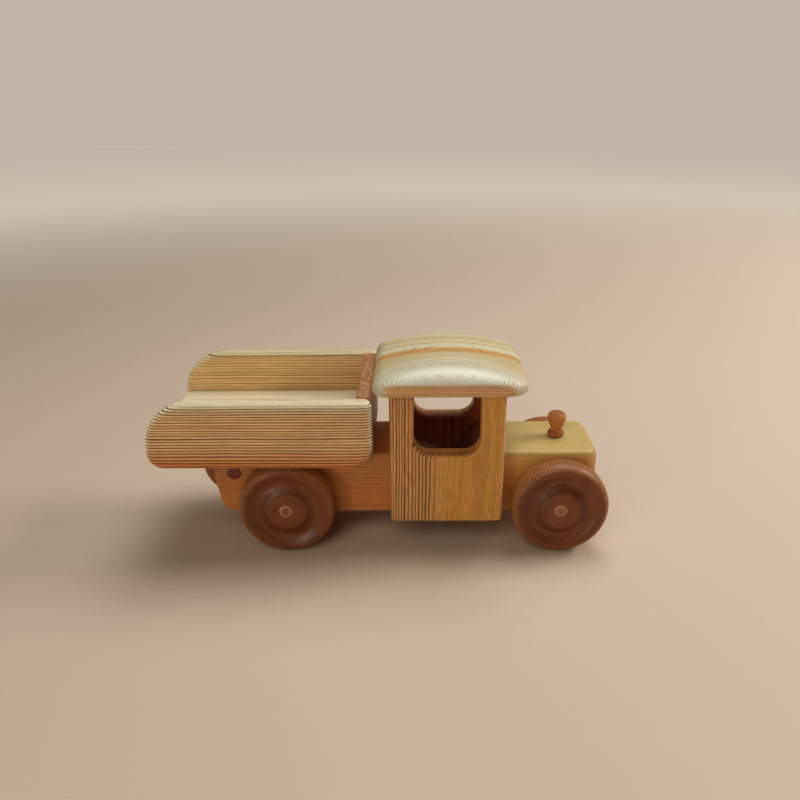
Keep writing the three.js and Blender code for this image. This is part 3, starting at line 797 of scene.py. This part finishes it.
def chassis_beam():
    """The beam as a skin over its cross-sections, with the fork at its rear and all its bores."""
    b, edge = BEAM, BEAM["edge"]
    bonnet_edge = 1.2  # how much more the bonnet's upper edges are rounded
    rings = []
    for x, low, high in beam_profile():
        r = min(edge, (high - low) / 2 - 0.01)
        back = max(0.0, b["rear"] + edge - x)  # round the rear end over in plan too
        half = b["half"] - edge + math.sqrt(max(0.0, edge ** 2 - back ** 2))
        more = bonnet_edge * max(0.0, min(1.0, (x - 75) / 6))
        rings.append(rounded_box_ring(x, half, low, high, r, r + more))
    plan, nose, foot = 8.0, 5.5, 3.0  # the front end's roundings
    for k in range(1, 15):
        a = math.pi / 2 * k / 14
        x = b["front"] - plan + plan * math.sin(a)
        half = b["half"] - plan * (1 - math.cos(a))
        up = max(0.0, x - (b["front"] - nose))
        down = max(0.0, x - (b["front"] - foot))
        high = b["top"] - nose + math.sqrt(max(0.0, nose ** 2 - up ** 2))
        low = b["bottom"] + foot - math.sqrt(max(0.0, foot ** 2 - down ** 2))
        rings.append(rounded_box_ring(x, half, low, high, edge, edge + bonnet_edge + 1.6 * math.sin(a)))
    beam = build("chassis_beam", *loft(rings))
    cutters = [slab_cutter(b["rear"] - 5, PIN["x"] + 25.3, -12, 12, b["bottom"] - 5, b["top"] + 5),
               cross_bore(TURNING_BORE, AXLES["front"], AXLES["z"]),
               cross_bore(TURNING_BORE, AXLES["rear"], AXLES["z"]),
               cross_bore(GLUED_BORE, PIN["x"], PIN["z"]),
               drill("z", b["top"] - 9.5, b["top"] + 5, 2.8, (KNOB_X, 0), 32)]
    cutters += [dowel_bore("y", sign * (b["half"] - 13.3), sign * (b["half"] + 5), (x, CAB_DOWELS["z"]))
                for x in CAB_DOWELS["xs"] for sign in (1, -1)]
    return carve(beam, *cutters)


place(chassis_beam(), "truck", ["chassis"], chassis_wood)


# ---- cab
def cab_panel(side, sign):
    """Side panel of the cab: two posts over a solid lower half, sawn from one board."""
    c, w = CAB, WINDOW
    outline = rounded([(c["rear"], c["bottom"], 3), (c["front"], c["bottom"], 3), (c["front"], c["top"], 0),
                       (w["front"], c["top"], 0), (w["front"], w["sill"], 10), (w["rear"], w["sill"], 10),
                       (w["rear"], c["top"], 0), (c["rear"], c["top"], 0)], steps=14)

    def edge(point, _):
        return 2.4 - 2.1 * max(0.0, min(1.0, (point.y - 101.5) / 3.0))  # sharp under the roof

    y0 = c["inner"] if sign > 0 else -c["inner"] - c["thick"]
    panel = board(f"cab_panel_{side}", outline, y0, y0 + c["thick"], edge, longest=3.0)
    cutters = [dowel_bore("y", sign * (c["inner"] - 5), sign * (c["inner"] + 7.8), (x, CAB_DOWELS["z"]))
               for x in CAB_DOWELS["xs"]]
    cutters += [dowel_bore("z", 91, c["top"] + 4.7, (x, sign * ROOF_DOWELS["y"]))
                for x in ROOF_DOWELS["xs"]]
    return carve(panel, *cutters)


place(cab_panel("left", 1), "truck", ["cab_side_left"], cab_left_wood)
place(cab_panel("right", -1), "truck", ["cab_side_right"], cab_right_wood)


def roof_slab():
    """Slab arched along its length, rounded in plan and over its edges."""
    r = ROOF
    middle = (r["front"] + r["rear"]) / 2

    def top_at(x):
        return r["crown"] - (x - r["crown_x"]) ** 2 / (2 * r["arch"])

    def ring(along, across, height):
        """The outline in plan, inset by `along` at its ends and `across` at its sides, at height(x)."""
        points = []
        corners = [(r["front"], 1, r["front_corner"]), (r["rear"], 1, r["rear_corner"]),
                   (r["rear"], -1, r["rear_corner"]), (r["front"], -1, r["front_corner"])]
        for i, (x, side, radius) in enumerate(corners):
            rx, ry = max(radius - along, 0.5), max(radius - across, 0.5)
            cx = x - along - rx if x > middle else x + along + rx
            cy = side * (r["half"] - across - ry)
            angles = [math.radians(90 * i + 90 * k / 12) for k in range(13)]
            corner = [(cx + rx * math.cos(a), cy + ry * math.sin(a)) for a in angles]
            if points:
                points += between(points[-1], corner[0], 20)
            points += corner
        points += between(points[-1], points[0], 20)
        return [(x, y, height(x)) for x, y in points]

    rings = []
    for k in range(9):
        a = math.pi / 2 * k / 8
        inset = r["bottom_round"] * (1 - math.sin(a))
        z = r["bottom"] + r["bottom_round"] * (1 - math.cos(a))
        rings.append(ring(inset, inset, lambda x, z=z: z))
    for k in range(19):
        a = math.pi / 2 * k / 18
        reach = max(math.cos(a), 0.0) ** (2 / r["round_power"])
        upward = math.sin(a) ** (2 / r["round_power"])

        def height(x, upward=upward):
            rise = min(r["top_round"], top_at(x) - r["bottom"] - r["bottom_round"] - 0.4)
            return top_at(x) - rise * (1 - upward)

        rings.append(ring(r["end_inset"] * (1 - reach), r["side_inset"] * (1 - reach), height))
    for inset in (14, 17, 20, 24, 28, 32, 36, 39.5):
        rings.append(ring(inset + 2, inset, top_at))
    slab = build("roof_slab", *loft(rings))
    return carve(slab, *[dowel_bore("z", 100, r["bottom"] + 7.3, (x, sign * ROOF_DOWELS["y"]))
                         for sign in (1, -1) for x in ROOF_DOWELS["xs"]])


place(roof_slab(), "truck", ["cab_roof"], roof_wood)


# ---- turned knob
def knob():
    """Turned knob on a peg glued into the bonnet."""
    outline = [(4.5, 0.3), (5.0, 0.8), (5.25, 1.7), (5.15, 2.6), (4.5, 3.5), (3.75, 4.2), (3.5, 4.9),
               (3.65, 5.8), (4.3, 7.4), (5.05, 9.3), (5.6, 11.1), (5.85, 12.6), (5.7, 14.0), (4.9, 15.3),
               (3.3, 16.25), (1.6, 16.62), (0.0, 16.7)]
    peg = [(0, -9), (2.1, -9), (2.5, -8.6), (2.5, 0.3)]
    profile = peg + [(max(r, 0), z) for r, z in spline(outline, 4)]
    return turned("bonnet_knob_turned", profile, (KNOB_X, 0, BEAM["top"]), Z, 72)


place(knob(), "truck", ["bonnet_knob"], knob_wood, 50)


# ---- wheels and axles
def wheel(name, x, sign):
    """Turned wheel: a flat hub and a coved face outside, flat inside."""
    face, tyre = WHEEL["half"], WHEEL["radius"]
    cove = [(r, face - d) for r, d in spline([(11.4, 0.04), (12.4, 0.3), (13.8, 0.95), (15.5, 1.95),
                                              (17.4, 2.75), (19.5, 2.75), (21.6, 1.85), (23.4, 0.8),
                                              (24.8, 0.2)], 4)]
    turns = [math.pi / 2 * k / 16 for k in range(17)]
    outer = [(tyre - 4.4 + 4.4 * math.sin(a), face - 6.0 * (1 - math.cos(a))) for a in turns]
    turns = [math.pi / 2 * k / 10 for k in range(11)]
    inner = [(tyre - 4 + 4 * math.cos(a), -face + 4 * (1 - math.sin(a))) for a in turns]
    bore = [(GLUED_BORE, -face + 0.3), (GLUED_BORE, face - 0.35), (4.7, face), (8, face), (10.6, face)]
    profile = [*bore, *cove, *outer, *inner, (16, -face), (4.65, -face)]
    return turned(name, profile, (x, sign * (AXLES["half"] - face), AXLES["z"]), (0, sign, 0), 128)


def axle(name, x):
    """Dowel with slightly dished ends."""
    end, radius = AXLES["half"], AXLES["radius"]
    profile = mirrored([(0, -end + 0.05), (2.2, -end + 0.03), (3.6, -end), (3.95, -end + 0.15),
                        (radius, -end + 0.5), (radius, -20)])
    return turned(name, profile, (x, 0, AXLES["z"]), Y, 64)


WHEELSETS = (("front", 66, srgb(168, 112, 70), 20.0), ("rear", 146, srgb(100, 58, 42), 24.0))
# Painted light: the left wheels get a lighter, more orange wood than the right ones, for the light that
# falls on them from behind.
WHEEL_SIDES = (("left", 1, 31, srgb(176, 100, 46), 1), ("right", -1, 0, srgb(136, 73, 31), 0))
for end, turn, core, seed in WHEELSETS:
    x = AXLES[end]
    for side, sign, extra_turn, early, seed_step in WHEEL_SIDES:
        name = f"wheel_{end}_{side}"
        material = wheel_wood(f"{name}_wood", turn + extra_turn, x, sign, early, seed + seed_step)
        place(wheel(f"{name}_turned", x, sign), f"{end}_wheelset", [name], material, 50)
    place(axle(f"axle_{end}_dowel", x), f"{end}_wheelset", [f"axle_{end}"],
          axle_wood(f"axle_{end}_wood", x, core, seed + 3), 50)


# ---- tipping bed
def bed_board(side, sign):
    """Side of the bed: a board with a quarter-round tail."""
    b = BED
    tail_x, tail_z = b["rear"] + b["tail"], b["top"] - b["tail"]
    outline = rounded([(b["rear"], b["bottom"], 9.5), (b["front"], b["bottom"], 14),
                       (b["front"], b["top"], 4.5), (tail_x, b["top"]), (b["rear"], tail_z)], steps=12)
    outline[-2:] = arc(tail_x, tail_z, b["tail"], 90, 180, 28)  # in place of the two sharp corners
    inner = b["outer"] - b["thick"]
    y0 = inner if sign > 0 else -b["outer"]

    def edge(_, normal):
        return 3.8 + max(0.0, normal.x) ** 2 * 2.9 + max(0.0, -normal.x) * 1.2

    piece = board(f"bed_board_{side}", outline, y0, y0 + b["thick"], edge, depth=3.9, steps=10, longest=4.0)
    return carve(piece, *[dowel_bore("y", sign * (inner - 5), sign * (inner + 5.3), (x, BED_DOWELS["z"]))
                          for x in BED_DOWELS["xs"]])


place(bed_board("left", 1), "bed", ["bed_side_left"], bed_left_wood)
place(bed_board("right", -1), "bed", ["bed_side_right"], bed_right_wood)


def flat_block(name, ends, z0, z1, edge, corner):
    """Plain board between the bed's sides."""
    x0, x1 = ends["rear"], ends["front"]
    outline = rounded([(x0, z0, corner), (x1, z0, corner), (x1, z1, corner), (x0, z1, corner)], steps=6)
    return board(name, outline, -FLOOR["half"], FLOOR["half"], edge, steps=6, longest=6.0)


bed_floor = flat_block("bed_floor_board", FLOOR, BED["bottom"], FLOOR["top"], 1.2, 1.25)
side, level = FLOOR["half"], BED_DOWELS["z"]
floor_bores = [dowel_bore("y", sign * (side - 15.3), sign * (side + 5), (x, level))
               for sign in (1, -1) for x in BED_DOWELS["xs"]]
floor_bores += [dowel_bore("x", -29.2, -8, (y, level)) for y in HEADBOARD_DOWELS_Y]
floor_bores += [dowel_bore("z", 58, 73.4, (x, 0)) for x in TONGUE_DOWELS_X]
place(carve(bed_floor, *floor_bores), "bed", ["bed_floor"], floor_wood)

headboard = flat_block("headboard_board", HEADBOARD, BED["bottom"], BED["top"], 1.6, 1.9)
headboard_bores = [dowel_bore("x", -20, -9.8, (y, level)) for y in HEADBOARD_DOWELS_Y]
place(carve(headboard, *headboard_bores), "bed", ["bed_headboard"], headboard_wood)


def tongue():
    """Block under the bed that turns in the beam's fork."""
    x, z, top, radius, half = PIN["x"], PIN["z"], TONGUE["top"], TONGUE["radius"], TONGUE["half"]
    start = 180 - math.degrees(math.asin((top - z) / radius))
    outline = arc(x, z, radius, start, 262, 40)
    outline += [Vector(p) for p in ((x + 6, z - 24.3), (x + 8, z - 23.7), (x + 17, z + 2), (x + 17, top))]
    piece = board("tongue_block", outline, -half, half, 0.8, steps=5, longest=4.0)
    return carve(piece, cross_bore(TURNING_BORE, x, z),
                 *[dowel_bore("z", top - 9.8, top + 5, (at, 0)) for at in TONGUE_DOWELS_X])


place(tongue(), "bed", ["bed_tongue"], tongue_wood)

end = PIN["half"]
pin_profile = mirrored([(0, -end), (3.4, -end), (3.9, -end + 0.15), (PIN["radius"], -end + 0.5)])
place(turned("hinge_pin_dowel", pin_profile, (PIN["x"], 0, PIN["z"]), Y, 64),
      "truck", ["hinge_pin"], pin_wood, 50)

for name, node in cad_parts.items():
    if name.startswith("dowel_"):
        node.data.materials.clear()
        node.data.materials.append(dowel_wood)


# ---- camera, floor and light
CAMERA = dict(at=(0.01931, -0.428228, 0.268044), pitch=22.829, roll=-0.75, yaw=-1.239, lens=33.044085)


def make_camera():
    """Camera from where it stands and its angles in degrees: down, tilted, and turned off +Y."""
    pitch, roll, yaw = (math.radians(CAMERA[key]) for key in ("pitch", "roll", "yaw"))
    look = Vector((math.sin(yaw) * math.cos(pitch), math.cos(yaw) * math.cos(pitch), -math.sin(pitch)))
    right = Vector((math.cos(yaw), -math.sin(yaw), 0))
    up = right.cross(look)
    x_axis = right * math.cos(roll) + up * math.sin(roll)
    y_axis = -right * math.sin(roll) + up * math.cos(roll)
    data = bpy.data.cameras.new("camera")
    data.sensor_width = 36
    data.lens = CAMERA["lens"]
    data.clip_start = 0.01
    camera = bpy.data.objects.new("camera", data)
    turn = Matrix((x_axis, y_axis, -look)).transposed().to_4x4()
    camera.matrix_world = Matrix.Translation(CAMERA["at"]) @ turn
    scene.collection.objects.link(camera)
    scene.camera = camera


ROOM = (0.52, 0.45, 0.38)


def make_floor():
    """A pale table that reaches the horizon."""
    mesh = bpy.data.meshes.new("floor")
    mesh.from_pydata([(-4, -4, 0), (4, -4, 0), (4, 4, 0), (-4, 4, 0)], [], [(0, 1, 2, 3)])
    floor = bpy.data.objects.new("floor", mesh)
    scene.collection.objects.link(floor)
    g = Graph("floor")
    g.shader.inputs["Base Color"].default_value = (0.62, 0.5, 0.4, 1)
    g.shader.inputs["Roughness"].default_value = 0.7
    # Beyond the lamps' reach the floor glows, so it stays pale out to the horizon.
    away = g.vector("LENGTH", g.node("ShaderNodeTexCoord").outputs["Object"])
    g.shader.inputs["Emission Color"].default_value = (*ROOM, 1)
    g.put(g.shader, "Emission Strength", g.ease(away.outputs["Value"], 0.5, 2.0, 0.0, 0.95))
    mesh.materials.append(g.material)


def area_light(name, location, size, power, colour, spread=180):
    """Rectangular lamp aimed at the truck. size: metres. spread: degrees."""
    data = bpy.data.lights.new(name, "AREA")
    data.shape = "RECTANGLE"
    data.size, data.size_y = size
    data.energy = power
    data.color = colour
    data.spread = math.radians(spread)
    light = bpy.data.objects.new(name, data)
    light.location = location
    light.rotation_euler = (Vector((0, 0, 0.05)) - Vector(location)).to_track_quat("-Z", "Y").to_euler()
    scene.collection.objects.link(light)


make_camera()
make_floor()
area_light("key", (0.3, 0.4, 1.5), (1.0, 1.0), 13, (1, 0.99, 0.97))
area_light("side", (1.2, 0.25, 0.85), (0.5, 0.5), 11, (1, 0.93, 0.82))
area_light("fill", (-0.4, -1.15, 1.25), (0.8, 0.8), 5.7, (1, 0.87, 0.71))
area_light("window", (-0.9, -1.2, 0.32), (0.3, 0.3), 0.42, (1, 0.9, 0.76), spread=60)
world = bpy.data.worlds.new("world")
world.use_nodes = True
background = world.node_tree.nodes["Background"]
background.inputs["Color"].default_value = (*ROOM, 1)
# The room looks pale, but lights the truck little.
ray = world.node_tree.nodes.new("ShaderNodeLightPath")
seen = world.node_tree.nodes.new("ShaderNodeMapRange")
seen.inputs["To Min"].default_value = 0.11
seen.inputs["To Max"].default_value = 1.0
world.node_tree.links.new(ray.outputs["Is Camera Ray"], seen.inputs["Value"])
world.node_tree.links.new(seen.outputs["Result"], background.inputs["Strength"])
scene.world = world
scene.view_settings.view_transform = "Standard"
